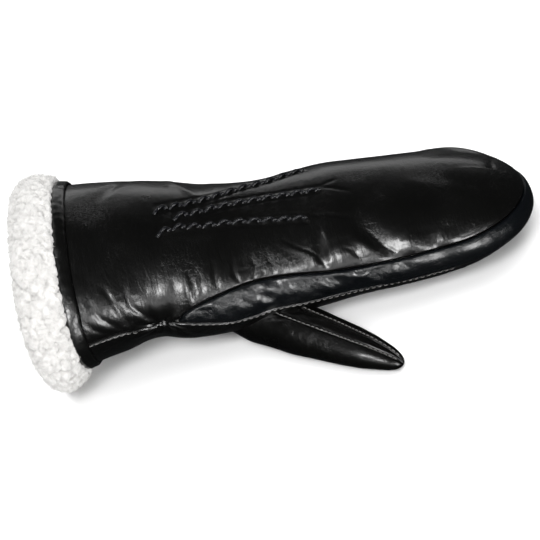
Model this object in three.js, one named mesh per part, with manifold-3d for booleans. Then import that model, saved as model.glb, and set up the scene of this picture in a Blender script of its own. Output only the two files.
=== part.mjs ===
// A leather mitten for the left hand, lined with curly fleece, lying palm down.
// Millimetres, +Z up. +X runs from the cuff to the fingertips, -Y is the thumb's side.
// The mitten rests on z = 0, and the origin is under the middle of its box.
//
// The hand is one smooth skin, cut along its seams into a back panel, a palm panel and the narrow
// side strip that runs between them round the fingertips. A thumb of three panels is let into the
// palm. The fleece lining fills the leather and rolls out of the cuff as a thick collar.

import * as THREE from "three";
import { mergeVertices } from "three/addons/utils/BufferGeometryUtils.js";
import Module from "manifold-3d";

const wasm = await Module();
wasm.setup();

// Walls and gaps
const LEATHER = 1.3;
const FLEECE = 5.5;
const GAP = 0.3;
const LINING_INSET = 2.6; // from the leather's face to the lining's
const LINING_PARTING = 42; // height at the cuff of the seam between the lining's two halves
const LINING_SLOPE = 0.08; // how fast that seam drops toward the fingertips
const SEAM_DIP = 0.8; // how far a panel sinks where it is sewn
const SEAM_ALLOWANCE = 0.5; // how far the inner face sinks with it
const STRIP_BULGE = 0.8;

// The hand's main sizes
const TIP_START = 201; // the rounded fingertip starts here
const TIP_LENGTH = 51;
const STRIP_START = 53; // the side strip runs from here, on both sides
const TILT = 6; // degrees: the thumb props the near side up
const SINK = 1.5; // how much of the round underside is flattened on the table

// Sections of the hand: width to the near and far side of the axis, the height of the widest line,
// the rise of the back above it and the drop of the palm below it.
const SECTIONS = [
  { x: 0, near: 73, far: 67, mid: 44, rise: 40, drop: 39 },
  { x: 20, near: 67, far: 60, mid: 43.5, rise: 38.5, drop: 40 },
  { x: 40, near: 61.5, far: 56, mid: 42, rise: 35.8, drop: 38.5 },
  { x: 60, near: 62, far: 55, mid: 36.5, rise: 36, drop: 36.5 },
  { x: 80, near: 61, far: 53, mid: 33, rise: 34, drop: 33.5 },
  { x: 105, near: 57.5, far: 52, mid: 31, rise: 32, drop: 31.5 },
  { x: 130, near: 56, far: 52, mid: 30, rise: 30.5, drop: 30 },
  { x: 155, near: 54.5, far: 52, mid: 29, rise: 29, drop: 29 },
  { x: 178, near: 53, far: 51, mid: 27, rise: 27.5, drop: 27 },
  { x: 201, near: 50, far: 49, mid: 25, rise: 25.5, drop: 24.5 },
  { x: 227, near: 49.5, far: 48.6, mid: 24, rise: 24, drop: 22 },
  { x: 254, near: 49.4, far: 48.5, mid: 23, rise: 22, drop: 20 },
];

// Where the seams run, in degrees round the section from the crown of the back. "upper" joins the
// back panel to the strip, "lower" joins the strip to the palm. Up to STRIP_START they are one.
const NEAR_SEAMS = [
  { x: 0, upper: 95, lower: 95 },
  { x: 24, upper: 97, lower: 97 },
  { x: 36, upper: 102, lower: 102 },
  { x: 50, upper: 99, lower: 99 },
  { x: 53, upper: 95.6, lower: 98 },
  { x: 58, upper: 86.5, lower: 97.5 },
  { x: 68, upper: 78.5, lower: 100 },
  { x: 80, upper: 72.5, lower: 104 },
  { x: 93, upper: 69, lower: 104 },
  { x: 105, upper: 69, lower: 102 },
  { x: 118, upper: 71, lower: 105 },
  { x: 137, upper: 76, lower: 107 },
  { x: 158, upper: 78.5, lower: 109 },
  { x: 180, upper: 77.5, lower: 112 },
  { x: 201, upper: 75.5, lower: 113 },
];
const FAR_SEAMS = [
  { x: 0, upper: 95, lower: 95 },
  { x: 50, upper: 95, lower: 95 },
  { x: 53, upper: 93, lower: 95.6 },
  { x: 58, upper: 87, lower: 99 },
  { x: 80, upper: 79, lower: 106 },
  { x: 130, upper: 77, lower: 108 },
  { x: 180, upper: 72, lower: 108 },
  { x: 201, upper: 67, lower: 108 },
];
// Round the fingertip, by direction in plan: 0 is the near side, 90 the tip, 180 the far side.
const TIP_SEAMS = [
  { x: 0, upper: 75.5, lower: 113 },
  { x: 30, upper: 72, lower: 114 },
  { x: 60, upper: 70.5, lower: 112 },
  { x: 90, upper: 72, lower: 110 },
  { x: 120, upper: 76, lower: 110 },
  { x: 145, upper: 82, lower: 109 },
  { x: 165, upper: 76, lower: 108 },
  { x: 180, upper: 67, lower: 108 },
];

// Folds and dents that go through the leather and the lining under it: where the middle is, how
// long and wide the fold is, its turn in plan (0 runs along the mitten) and its depth. A negative
// depth is a ridge. The back takes the first list and the palm the second.
const BACK_FOLDS = [
  { x: 124, y: -45, long: 22, wide: 8, turn: -35, depth: 2 },
  { x: 146, y: -35, long: 34, wide: 11, turn: -32, depth: 1.8 },
  { x: 166, y: -44, long: 20, wide: 8, turn: -40, depth: 1.6 },
  { x: 182, y: -46, long: 16, wide: 10, turn: -30, depth: -1.6 },
  { x: 205, y: -17, long: 44, wide: 7, turn: -28, depth: -1 },
  { x: 84, y: 22, long: 50, wide: 12, turn: -60, depth: 1.6 },
  { x: 64, y: 20, long: 34, wide: 7, turn: -65, depth: -1.2 },
  { x: 226, y: 24, long: 40, wide: 9, turn: -24, depth: 2 },
  { x: 222, y: 40, long: 32, wide: 11, turn: -24, depth: -3.4 },
  { x: 30, y: 15, long: 24, wide: 10, turn: -65, depth: -0.8 },
];
const PALM_FOLDS = [
  { x: 45, y: -47, long: 18, wide: 7, turn: 80, depth: 1.8 },
  { x: 30, y: -46, long: 22, wide: 7, turn: 50, depth: 1.4 },
];

// The thumb's middle line from inside the palm to its tip, with its half width and half height.
const THUMB = [
  { x: 80, y: -24, z: 18, width: 15, height: 12 },
  { x: 96, y: -39.5, z: 15.5, width: 16.5, height: 13 },
  { x: 113, y: -54.5, z: 13, width: 15.5, height: 12 },
  { x: 130, y: -69, z: 11.2, width: 14, height: 10.4 },
  { x: 144, y: -80.5, z: 9.6, width: 12, height: 8.8 },
];
const THUMB_TIP = { x: 161.5, y: -92, z: 7.5 };
// The thumb's panels, in degrees round its section: 0 faces up, 90 faces away from the hand.
const THUMB_PANELS = {
  thumb_strip: [-20, -2, 16],
  thumb_outer: [16, 40, 64, 85, 106, 128, 150, 175, 200],
  thumb_inner: [200, 224, 248, 272, 296, 318, 340],
};
const THUMB_GAP = 0.4;
const THUMB_LINING_INSET = 1.8;
const THUMB_HOLLOW_INSET = 5.8;

// The bound edge of the cuff: its cross section as places along the axis and out of the skin.
const BINDING = [
  { x: 6, out: 0.3 },
  { x: 6, out: 1.2 },
  { x: 4.6, out: 1.8 },
  { x: 0, out: 1.9 },
  { x: -1.7, out: 1 },
  { x: -2, out: -0.2 },
  { x: -1.6, out: -1.3 },
  { x: -0.3, out: -1.3 },
  { x: -0.3, out: 0.3 },
];
// The fleece collar, from the lining's outer face round the roll to its inner face.
const COLLAR = [
  { x: 5.7, out: -2.6 },
  { x: -2.2, out: -1.6 },
  { x: -2.7, out: 1.8 },
  { x: -5, out: 5.2 },
  { x: -10, out: 7.8 },
  { x: -16, out: 7.6 },
  { x: -21.5, out: 4.6 },
  { x: -24.5, out: -0.5 },
  { x: -24, out: -6 },
  { x: -19, out: -10 },
  { x: -10, out: -11 },
  { x: 0, out: -9.4 },
  { x: 5.7, out: -8.2 },
];

// The three raised lines of hand stitching on the back.
const POINTS = {
  point_far: [[53, -9.7], [77, -0.3], [100, 10], [122, 19], [135, 24]],
  point_middle: [[63, -15], [88, -7.5], [112, -5], [141, -6]],
  point_near: [[53, -27.7], [65, -23.5], [88, -22.3], [110, -23.9], [131, -27]],
};
const POINT_RADIUS = 0.8;

const LEATHER_LOOK = { color: 0x15161a, roughness: 0.28, metalness: 0 };
const STRIP_LOOK = { color: 0x1c1d22, roughness: 0.3, metalness: 0 };
const THREAD_LOOK = { color: 0x101014, roughness: 0.6, metalness: 0 };
const FLEECE_LOOK = { color: 0xf0ebe1, roughness: 1, metalness: 0 };

const rad = THREE.MathUtils.degToRad;

// A smooth curve through one column of a table, by the column x.
function column(rows, name) {
  const slope = rows.map((row, i) => {
    const a = rows[Math.max(i - 1, 0)];
    const b = rows[Math.min(i + 1, rows.length - 1)];
    return (b[name] - a[name]) / (b.x - a.x);
  });
  return (x) => {
    const at = THREE.MathUtils.clamp(x, rows[0].x, rows[rows.length - 1].x);
    let i = rows.findIndex((row) => row.x > at) - 1;
    if (i < 0) i = rows.length - 2;
    const span = rows[i + 1].x - rows[i].x;
    const t = (at - rows[i].x) / span;
    return (
      (2 * t ** 3 - 3 * t ** 2 + 1) * rows[i][name] +
      (t ** 3 - 2 * t ** 2 + t) * span * slope[i] +
      (3 * t ** 2 - 2 * t ** 3) * rows[i + 1][name] +
      (t ** 3 - t ** 2) * span * slope[i + 1]
    );
  };
}

const section = Object.fromEntries(
  ["near", "far", "mid", "rise", "drop"].map((name) => [name, column(SECTIONS, name)]),
);
const seams = {
  near: { upper: column(NEAR_SEAMS, "upper"), lower: column(NEAR_SEAMS, "lower") },
  far: { upper: column(FAR_SEAMS, "upper"), lower: column(FAR_SEAMS, "lower") },
  tip: { upper: column(TIP_SEAMS, "upper"), lower: column(TIP_SEAMS, "lower") },
};

// Depth of the folds of one list at a place in plan.
function foldDepth(folds, x, y) {
  let depth = 0;
  for (const fold of folds) {
    const dx = x - fold.x;
    const dy = y - fold.y;
    const along = dx * Math.cos(rad(fold.turn)) + dy * Math.sin(rad(fold.turn));
    const across = dy * Math.cos(rad(fold.turn)) - dx * Math.sin(rad(fold.turn));
    depth += fold.depth * Math.exp(-2 * ((along / fold.long) ** 2 + (across / fold.wide) ** 2) * 2);
  }
  return depth;
}

// From the hand's own frame to the table's: the near side tips up, and what would go through the
// table is flattened on it. lift keeps an inner face above an outer one there.
function laid(x, y, z, lift = 0) {
  const tilt = rad(TILT);
  return new THREE.Vector3(
    x,
    y * Math.cos(tilt) + z * Math.sin(tilt),
    Math.max(z * Math.cos(tilt) - y * Math.sin(tilt) - SINK, lift),
  );
}

// A point of the skin. base is the place along the axis, dx and dy the direction in plan from it
// (0,-1 on the near side and 0,1 on the far side, turning round the fingertip), theta the angle
// down from the crown, and inset the distance inside the skin.
function skin(base, dx, dy, theta, inset = 0) {
  const reach = Math.sin(theta);
  const x = base + (TIP_LENGTH - inset) * dx * reach;
  const half = (dy < 0 ? section.near : section.far)(x) - inset;
  const y = half * dy * reach;
  const up = Math.cos(theta);
  const height = (up > 0 ? section.rise : section.drop)(x) - inset;
  const dent = foldDepth(up > 0 ? BACK_FOLDS : PALM_FOLDS, x, y) * Math.min(1, Math.abs(up) * 3);
  const z = section.mid(x) + height * up - Math.sign(up) * dent;
  return laid(x, y, z, inset);
}

// Closed mesh geometry from corners and triangles, facing out.
function closedGeometry(points, triangles) {
  let volume = 0;
  for (const [a, b, c] of triangles) {
    volume += points[a].dot(new THREE.Vector3().crossVectors(points[b], points[c]));
  }
  const faces = volume < 0 ? triangles.map(([a, b, c]) => [a, c, b]) : triangles;
  const geometry = new THREE.BufferGeometry();
  geometry.setAttribute(
    "position",
    new THREE.Float32BufferAttribute(points.flatMap((p) => [p.x, p.y, p.z]), 3),
  );
  geometry.setIndex(faces.flat());
  return geometry;
}

// A wall between two equal grids of points, with its rim closed.
function wallGeometry(outer, inner) {
  const rows = outer.length;
  const cols = outer[0].length;
  const points = [...outer.flat(), ...inner.flat()];
  const shift = rows * cols;
  const at = (i, j) => i * cols + j;
  const triangles = [];
  for (let i = 0; i + 1 < rows; i++) {
    for (let j = 0; j + 1 < cols; j++) {
      const [a, b, c, d] = [at(i, j), at(i + 1, j), at(i + 1, j + 1), at(i, j + 1)];
      triangles.push([a, b, c], [a, c, d]);
      triangles.push([a + shift, c + shift, b + shift], [a + shift, d + shift, c + shift]);
    }
  }
  const rim = [];
  for (let i = 0; i < rows; i++) rim.push(at(i, 0));
  for (let j = 1; j < cols; j++) rim.push(at(rows - 1, j));
  for (let i = rows - 2; i >= 0; i--) rim.push(at(i, cols - 1));
  for (let j = cols - 2; j > 0; j--) rim.push(at(0, j));
  rim.forEach((a, k) => {
    const b = rim[(k + 1) % rim.length];
    triangles.push([a, b + shift, b], [a, a + shift, b + shift]);
  });
  return closedGeometry(points, triangles);
}

// A ring of cross sections: each row is one closed section, and the rows close on the first.
function ringGeometry(rows) {
  const cols = rows[0].length;
  const triangles = [];
  rows.forEach((row, i) => {
    const next = (i + 1) % rows.length;
    row.forEach((_, j) => {
      const k = (j + 1) % cols;
      const [a, b, c, d] = [i * cols + j, next * cols + j, next * cols + k, i * cols + k];
      triangles.push([a, b, c], [a, c, d]);
    });
  });
  return closedGeometry(rows.flat(), triangles);
}

// A tube of closed rings with a point at each end.
function capsuleGeometry(start, rings, end) {
  const sides = rings[0].length;
  const points = [start, ...rings.flat(), end];
  const triangles = [];
  const at = (i, j) => 1 + i * sides + (j % sides);
  for (let j = 0; j < sides; j++) {
    triangles.push([0, at(0, j + 1), at(0, j)]);
    for (let i = 0; i + 1 < rings.length; i++) {
      triangles.push([at(i, j), at(i, j + 1), at(i + 1, j + 1)]);
      triangles.push([at(i, j), at(i + 1, j + 1), at(i + 1, j)]);
    }
    triangles.push([points.length - 1, at(rings.length - 1, j), at(rings.length - 1, j + 1)]);
  }
  return closedGeometry(points, triangles);
}

// Stations along the mitten. The rounded tip is a square of rows and columns drawn out to a disc,
// so that no point of the leather has a fan of thin triangles.
const STATIONS = [
  0, 8, 17, 26, 35, 43, 50, STRIP_START, 58, 64, 71, 81, 92, 104, 114, 124, 134, 144, 154, 165, 176,
  188, TIP_START,
];
const TIP_ROWS = [0.2, 0.4, 0.58, 0.74, 0.87, 0.955, 1];
const HALF_COLUMNS = [0.16, 0.33, 0.49, 0.64, 0.78, 0.9, 0.965, 1];
const COLUMNS = [...HALF_COLUMNS.map((v) => -v).reverse(), 0, ...HALF_COLUMNS];
const SEAM_GAP = 0.3; // degrees kept clear on each side of a seam

// The seam angles that bound a panel in one direction from a place on the axis.
function seamAngles(base, dx, dy) {
  const turn = THREE.MathUtils.radToDeg(Math.atan2(dx, -dy)); // 0 near, 90 tip, 180 far
  if (base < TIP_START) {
    const side = dy < 0 ? seams.near : seams.far;
    return { upper: side.upper(base), lower: side.lower(base) };
  }
  return { upper: seams.tip.upper(turn), lower: seams.tip.lower(turn) };
}

// The places that a panel's grid is drawn on: a direction from the axis and a share of the way
// from the middle of the panel to its seam.
function panelPlaces() {
  const rows = STATIONS.map((base) =>
    COLUMNS.map((v) => ({ base, dx: 0, dy: v < 0 ? -1 : 1, share: Math.abs(v) })),
  );
  for (const u of TIP_ROWS) {
    rows.push(
      COLUMNS.map((v) => {
        const dx = u * Math.sqrt(1 - v ** 2 / 2);
        const dy = v * Math.sqrt(1 - u ** 2 / 2);
        const share = Math.hypot(dx, dy);
        return { base: TIP_START, dx: dx / share, dy: dy / share, share };
      }),
    );
  }
  return rows;
}

// A panel between two insets of the skin; [inset, how much deeper it is sewn down at its edge].
function panelGeometry(
  isBack,
  outside = [0, SEAM_DIP],
  inside = [LEATHER, SEAM_ALLOWANCE],
  gap = SEAM_GAP,
) {
  const sunk = (share) => (share > 0.99 ? 1 : share > 0.95 ? 0.2 : 0);
  const face = ([inset, dip]) =>
    panelPlaces().map((row) =>
      row.map(({ base, dx, dy, share }) => {
        const { upper, lower } = seamAngles(base, dx, dy);
        const edge = isBack ? upper - gap : 180 - lower - gap;
        const theta = isBack ? share * edge : 180 - share * edge;
        return skin(base, dx, dy, rad(theta), inset + dip * sunk(share));
      }),
    );
  return wallGeometry(face(outside), face(inside));
}

// The side strip, from the near wrist round the fingertips to the far wrist, between two insets of
// the skin; [inset, how much deeper at its edges, how much it bulges between them].
function stripGeometry(
  outside = [0, SEAM_DIP, STRIP_BULGE],
  inside = [LEATHER, SEAM_ALLOWANCE, 0],
  gap = SEAM_GAP,
) {
  const straight = STATIONS.filter((x) => x >= STRIP_START);
  const near = straight.map((base) => ({ base, dx: 0, dy: -1 }));
  const corner = TIP_ROWS.map((u) => ({ dx: u * Math.SQRT1_2, dy: Math.sqrt(1 - u ** 2 / 2) }));
  const front = COLUMNS.slice(1, -1).map((v) => ({
    base: TIP_START,
    dx: Math.sqrt(1 - v ** 2 / 2),
    dy: v * Math.SQRT1_2,
  }));
  const places = [
    ...near,
    ...corner.map(({ dx, dy }) => ({ base: TIP_START, dx, dy: -dy })),
    ...front,
    ...corner.map(({ dx, dy }) => ({ base: TIP_START, dx, dy })).reverse(),
    ...near.map(({ base }) => ({ base, dx: 0, dy: 1 })).reverse(),
  ];
  const SHARES = [0, 0.16, 0.5, 0.84, 1];
  const face = ([inset, dip, bulge]) =>
    places.map(({ base, dx, dy }) => {
      const { upper, lower } = seamAngles(base, dx, dy);
      const room = Math.min(1, (lower - upper) / 25); // less bulge where the strip is narrow
      return SHARES.map((share) => {
        const theta = upper + gap + (lower - upper - 2 * gap) * share;
        const sunk = share === 0 || share === 1 ? dip : -bulge * room;
        return skin(base, dx, dy, rad(theta), inset + sunk);
      });
    });
  return wallGeometry(face(outside), face(inside));
}

// Angles round the cuff at which both leather panels have a corner, from the crown to the far side,
// so that what is wrapped round the cuff follows the same facets.
const palmAngle = (v) =>
  v < 0 ? -180 - v * (180 - seams.near.lower(0)) : 180 - v * (180 - seams.far.lower(0));
const CUFF_ANGLES = [
  ...COLUMNS.map((v) => v * (v < 0 ? seams.near : seams.far).upper(0)),
  ...COLUMNS.slice(1, -1).reverse().map(palmAngle),
];

// The side of the axis and the angle down from the crown, for a turn phi from the crown to the far
// side.
function around(phi) {
  return { side: Math.sin(rad(phi)) < 0 ? -1 : 1, theta: Math.acos(Math.cos(rad(phi))) };
}

function cuffPoint({ x, out }, phi) {
  const { side, theta } = around(phi);
  const reach = Math.sin(theta);
  const up = Math.cos(theta);
  const half = (side < 0 ? section.near : section.far)(x) + out;
  const height = (up > 0 ? section.rise : section.drop)(x) + out;
  return laid(x, half * side * reach, section.mid(x) + height * up, Math.max(-out, 0));
}

function bindingGeometry() {
  return ringGeometry(CUFF_ANGLES.map((phi) => BINDING.map((place) => cuffPoint(place, phi))));
}

// The lining's sections, from the cuff to the rounded end.
const LINING_STATIONS = [6, 15, 25, 36, 45, 54, 68, 86, 104, 121, 138, 155, 177, TIP_START];
const LINING_TIP = [24, 46, 64, 78]; // degrees round the end
const LINING_ANGLES = Array.from({ length: 24 }, (_, i) => 15 * i);

function liningRing(x, share, inset) {
  return LINING_ANGLES.map((phi) => {
    const { side, theta } = around(phi);
    const up = Math.cos(theta);
    const half = (side < 0 ? section.near : section.far)(x) - inset;
    const y = half * side * Math.sin(theta) * share;
    const height = (up > 0 ? section.rise : section.drop)(x) - inset;
    const folds = up > 0 ? BACK_FOLDS : PALM_FOLDS;
    const dent = foldDepth(folds, x, y) * Math.min(1, Math.abs(up * share) * 3);
    return laid(x, y, section.mid(x) + height * up * share - Math.sign(up) * dent, inset);
  });
}

function liningRings(inset) {
  const rings = LINING_STATIONS.map((x) => liningRing(x, 1, inset));
  for (const turn of LINING_TIP) {
    const x = TIP_START + (TIP_LENGTH - inset) * Math.sin(rad(turn));
    rings.push(liningRing(x, Math.cos(rad(turn)), inset));
  }
  return rings;
}

const liningEnd = (inset) => {
  const x = TIP_START + TIP_LENGTH - inset;
  return laid(x, 0, section.mid(x), inset);
};

// The thumb's middle line, and its rings: three between two rows of the table, then the round end.
const thumbLine = new THREE.CatmullRomCurve3(
  [...THUMB, THUMB_TIP].map(({ x, y, z }) => new THREE.Vector3(x, y, z)),
);
const THUMB_STEPS = 3;
const THUMB_END_TURNS = [24, 46, 64, 78, 86];

function thumbRing(t, width, height, angles, floor) {
  const centre = thumbLine.getPoint(t);
  const along = thumbLine.getTangent(t);
  const aside = new THREE.Vector3(along.y, -along.x, 0).normalize();
  const up = new THREE.Vector3().crossVectors(aside, along).normalize();
  return angles.map((phi) => {
    const point = centre
      .clone()
      .addScaledVector(aside, Math.sin(rad(phi)) * width)
      .addScaledVector(up, Math.cos(rad(phi)) * height);
    point.z = Math.max(point.z, floor);
    return point;
  });
}

// angles and inset are given for each ring's width, so that a gap can stay even on thin rings.
function thumbRings(anglesAt, inset) {
  const rings = [];
  const add = (t, width, height) => {
    rings.push(thumbRing(t, width, height, anglesAt(width), Math.max(inset, 0)));
  };
  const last = THUMB.length - 1;
  for (let i = 0; i < last; i++) {
    for (let k = 0; k < THUMB_STEPS; k++) {
      const mix = (name) => THREE.MathUtils.lerp(THUMB[i][name], THUMB[i + 1][name], k / THUMB_STEPS);
      add((i + k / THUMB_STEPS) / THUMB.length, mix("width") - inset, mix("height") - inset);
    }
  }
  for (const turn of [0, ...THUMB_END_TURNS]) {
    const t = (last + (1 - inset / 22) * Math.sin(rad(turn))) / THUMB.length;
    const shrink = Math.cos(rad(turn));
    add(t, (THUMB[last].width - inset) * shrink, (THUMB[last].height - inset) * shrink);
  }
  return rings;
}

const LINING_THUMB_ANGLES = Array.from({ length: 10 }, (_, i) => 36 * i);
const thumbAngles = Object.values(THUMB_PANELS).flatMap((angles) => angles.slice(0, -1));

function thumbSolid(inset, angles = LINING_THUMB_ANGLES) {
  const end = thumbLine.getPoint((THUMB.length - inset / 22) / THUMB.length);
  return solid(capsuleGeometry(thumbLine.getPoint(0), thumbRings(() => angles, inset), end));
}

function thumbPanelGeometry(angles) {
  const face = (inset, dip) => {
    const clear = (width) => Math.min(THREE.MathUtils.radToDeg(THUMB_GAP / 2 / width), 8);
    const last = angles.length - 1;
    const edges = (width) =>
      angles.map((phi, i) => phi + (i === 0 ? clear(width) : i === last ? -clear(width) : 0));
    const flat = thumbRings(edges, inset);
    const sunk = thumbRings(edges, inset + dip);
    return flat.map((ring, i) => ring.map((p, j) => (j % last === 0 ? sunk[i][j] : p)));
  };
  return wallGeometry(face(0, 0.6), face(LEATHER, 0.2));
}

// A raised line of stitching, laid along the back.
function pointGeometry(places) {
  const path = new THREE.CatmullRomCurve3(
    places.map(([x, y]) => {
      const theta = Math.asin(Math.abs(y) / (y < 0 ? section.near : section.far)(x));
      return skin(x, 0, y < 0 ? -1 : 1, theta, -POINT_RADIUS - GAP);
    }),
  );
  const outline = new THREE.Shape(
    Array.from({ length: 6 }, (_, i) =>
      new THREE.Vector2(POINT_RADIUS, 0).rotateAround(new THREE.Vector2(), rad(60 * i)),
    ),
  );
  return new THREE.ExtrudeGeometry(outline, { steps: 14, extrudePath: path, bevelEnabled: false });
}

// A closed geometry as a solid for joins and cuts, and back.
function solid(geometry) {
  const merged = mergeVertices(geometry.deleteAttribute("normal").deleteAttribute("uv"), 1e-4);
  return new wasm.Manifold(
    new wasm.Mesh({
      numProp: 3,
      vertProperties: merged.attributes.position.array,
      triVerts: new Uint32Array(merged.index.array),
    }),
  );
}

function geometryOf(made) {
  const { vertProperties, triVerts, numProp } = made.getMesh();
  const geometry = new THREE.BufferGeometry();
  const corners = vertProperties.length / numProp;
  const position = new Float32Array(corners * 3);
  for (let i = 0; i < corners; i++) {
    position.set(vertProperties.slice(i * numProp, i * numProp + 3), i * 3);
  }
  geometry.setAttribute("position", new THREE.BufferAttribute(position, 3));
  geometry.setIndex([...triVerts]);
  return geometry;
}

// The thumb passes through the palm: its panels end on the outside of the hand, and the palm and
// the strip are open where it is hollow.
const hand = solid(panelGeometry(false, [-GAP, 0], [16, 0], -1)).add(
  solid(stripGeometry([-GAP, 0, STRIP_BULGE], [16, 0, 0], -1)),
);
const thumbHollow = thumbSolid(LEATHER, thumbAngles);

// Of the pieces that a cut leaves, the one that stands out farthest from the hand.
function outermost(cut) {
  const reach = (piece) => piece.boundingBox().min[1];
  return cut.decompose().reduce((best, piece) => (reach(piece) < reach(best) ? piece : best));
}

const thumbPanel = (angles) => outermost(solid(thumbPanelGeometry(angles)).subtract(hand));

// A closed shape of the lining's sections at one inset.
const liningForm = (inset) =>
  solid(capsuleGeometry(laid(6, 0, section.mid(6)), liningRings(inset), liningEnd(inset)));

// The hand's lining is a cup inside the leather, sewn from a back and a palm along its widest line.
function handLining(above) {
  const inner = LINING_INSET + FLEECE;
  const cup = capsuleGeometry(
    liningEnd(LINING_INSET),
    [...liningRings(LINING_INSET).reverse(), ...liningRings(inner)],
    liningEnd(inner),
  );
  const normal = new THREE.Vector3(LINING_SLOPE, Math.sin(rad(TILT)), Math.cos(rad(TILT))).normalize();
  if (!above) normal.negate();
  const offset = normal.dot(laid(0, 0, LINING_PARTING)) + GAP / 2;
  return solid(cup).trimByPlane(normal.toArray(), offset).subtract(thumbSolid(THUMB_HOLLOW_INSET));
}

// The thumb's lining is a sleeve that ends on the lining of the palm.
function thumbLining() {
  const sleeve = thumbSolid(THUMB_LINING_INSET).subtract(thumbSolid(THUMB_HOLLOW_INSET));
  return outermost(sleeve.subtract(liningForm(LINING_INSET - GAP)));
}

const collarRows = LINING_ANGLES.map((phi) => COLLAR.map((place) => cuffPoint(place, phi)));

const looks = {
  leather: new THREE.MeshStandardMaterial(LEATHER_LOOK),
  strip: new THREE.MeshStandardMaterial(STRIP_LOOK),
  thread: new THREE.MeshStandardMaterial(THREAD_LOOK),
  fleece: new THREE.MeshStandardMaterial(FLEECE_LOOK),
};

const mitten = new THREE.Group();
function add(name, geometry, look) {
  const mesh = new THREE.Mesh(geometry, looks[look]);
  mesh.name = name;
  mitten.add(mesh);
}

add("back_panel", panelGeometry(true), "leather");
add("palm_panel", geometryOf(solid(panelGeometry(false)).subtract(thumbHollow)), "leather");
add("side_strip", geometryOf(solid(stripGeometry()).subtract(thumbHollow)), "strip");
for (const [name, angles] of Object.entries(THUMB_PANELS)) {
  add(name, geometryOf(thumbPanel(angles)), name === "thumb_strip" ? "strip" : "leather");
}
add("cuff_binding", bindingGeometry(), "leather");
add("fleece_collar", ringGeometry(collarRows), "fleece");
add("lining_back", geometryOf(handLining(true)), "fleece");
add("lining_palm", geometryOf(handLining(false)), "fleece");
add("lining_thumb", geometryOf(thumbLining()), "fleece");
for (const [name, places] of Object.entries(POINTS)) add(name, pointGeometry(places), "thread");

// The origin goes under the middle of the whole mitten.
const box = new THREE.Box3().setFromObject(mitten);
const centre = box.getCenter(new THREE.Vector3());
mitten.position.set(-centre.x, -centre.y, -box.min.z);

const part = new THREE.Group();
part.add(mitten);
export default part;
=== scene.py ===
# %% [markdown]
# # A lined leather mitten
# A left-hand mitten in glossy black leather lies palm down. Fleece lines it and rolls out of the
# cuff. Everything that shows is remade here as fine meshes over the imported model, which gives the
# places. The hand is one smooth skin, so that its panels are made alike and meet at their seams.

# %% Load the frame
import bpy
import numpy as np
from math import cos, pi, radians, sin, tau
from mathutils import Matrix, Vector


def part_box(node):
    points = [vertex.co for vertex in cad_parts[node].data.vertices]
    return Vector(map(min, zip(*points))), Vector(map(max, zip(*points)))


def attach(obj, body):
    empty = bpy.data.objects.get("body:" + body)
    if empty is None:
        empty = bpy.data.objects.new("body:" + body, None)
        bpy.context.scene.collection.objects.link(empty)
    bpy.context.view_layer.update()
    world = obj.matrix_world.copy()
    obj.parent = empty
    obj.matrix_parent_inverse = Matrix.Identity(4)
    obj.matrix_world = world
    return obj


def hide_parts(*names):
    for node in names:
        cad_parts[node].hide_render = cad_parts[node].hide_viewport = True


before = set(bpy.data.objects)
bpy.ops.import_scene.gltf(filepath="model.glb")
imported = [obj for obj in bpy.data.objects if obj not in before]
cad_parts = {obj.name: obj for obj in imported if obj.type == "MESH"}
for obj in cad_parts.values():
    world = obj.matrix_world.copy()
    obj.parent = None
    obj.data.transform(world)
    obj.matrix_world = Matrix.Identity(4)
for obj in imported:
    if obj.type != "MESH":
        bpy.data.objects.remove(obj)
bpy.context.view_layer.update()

MM = 0.001

# %% [markdown]
# ## The camera
# The photograph looks at the thumb's side from above, through a long lens, and the mitten climbs to
# the right. A camera could be turned by hand until it fits. Here its place is worked out from an
# aim, a distance and three angles, so that each one can be changed alone.

# %% Camera
AIM = Vector((-10.1, -6.6, 25.0)) * MM
DISTANCE = 1050 * MM
ELEVATION, AZIMUTH, ROLL = radians(38), radians(3), radians(16)
PER_PIXEL = 0.54 * MM  # at the aim
PICTURE, SENSOR = 540, 36  # pixels, mm

away = Vector((sin(AZIMUTH) * cos(ELEVATION), -cos(AZIMUTH) * cos(ELEVATION), sin(ELEVATION)))
level = Vector((cos(AZIMUTH), sin(AZIMUTH), 0))
upward = away.cross(level)
across = level * cos(ROLL) - upward * sin(ROLL)
above = level * sin(ROLL) + upward * cos(ROLL)
camera_data = bpy.data.cameras.new("camera")
camera_data.lens = SENSOR * DISTANCE / PER_PIXEL / PICTURE
camera = bpy.data.objects.new("camera", camera_data)
camera.matrix_world = Matrix.Translation(AIM + away * DISTANCE) @ Matrix(
    (across, above, away)).transposed().to_4x4()
bpy.context.collection.objects.link(camera)
bpy.context.scene.camera = camera
print("lens in mm:", round(camera_data.lens, 1))

# %% [markdown]
# ## The shape of the hand
# A mitten is drawn over a hand and a thick lining, so its sections are smooth ovals that change
# slowly. They could be sculpted. A short table of sections, with smooth curves through its columns,
# is easier to correct against a photograph, and every panel can then read the same skin.

# %% Sections and seams
MIDDLE_Y = 8.426  # mm between the hand's axis and the middle of the whole mitten
SHIFT = Vector((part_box("back_panel")[0][0] / MM, MIDDLE_Y, 0))  # from the hand's frame, in mm
TIP_START, TIP_LENGTH = 201, 51

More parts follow.
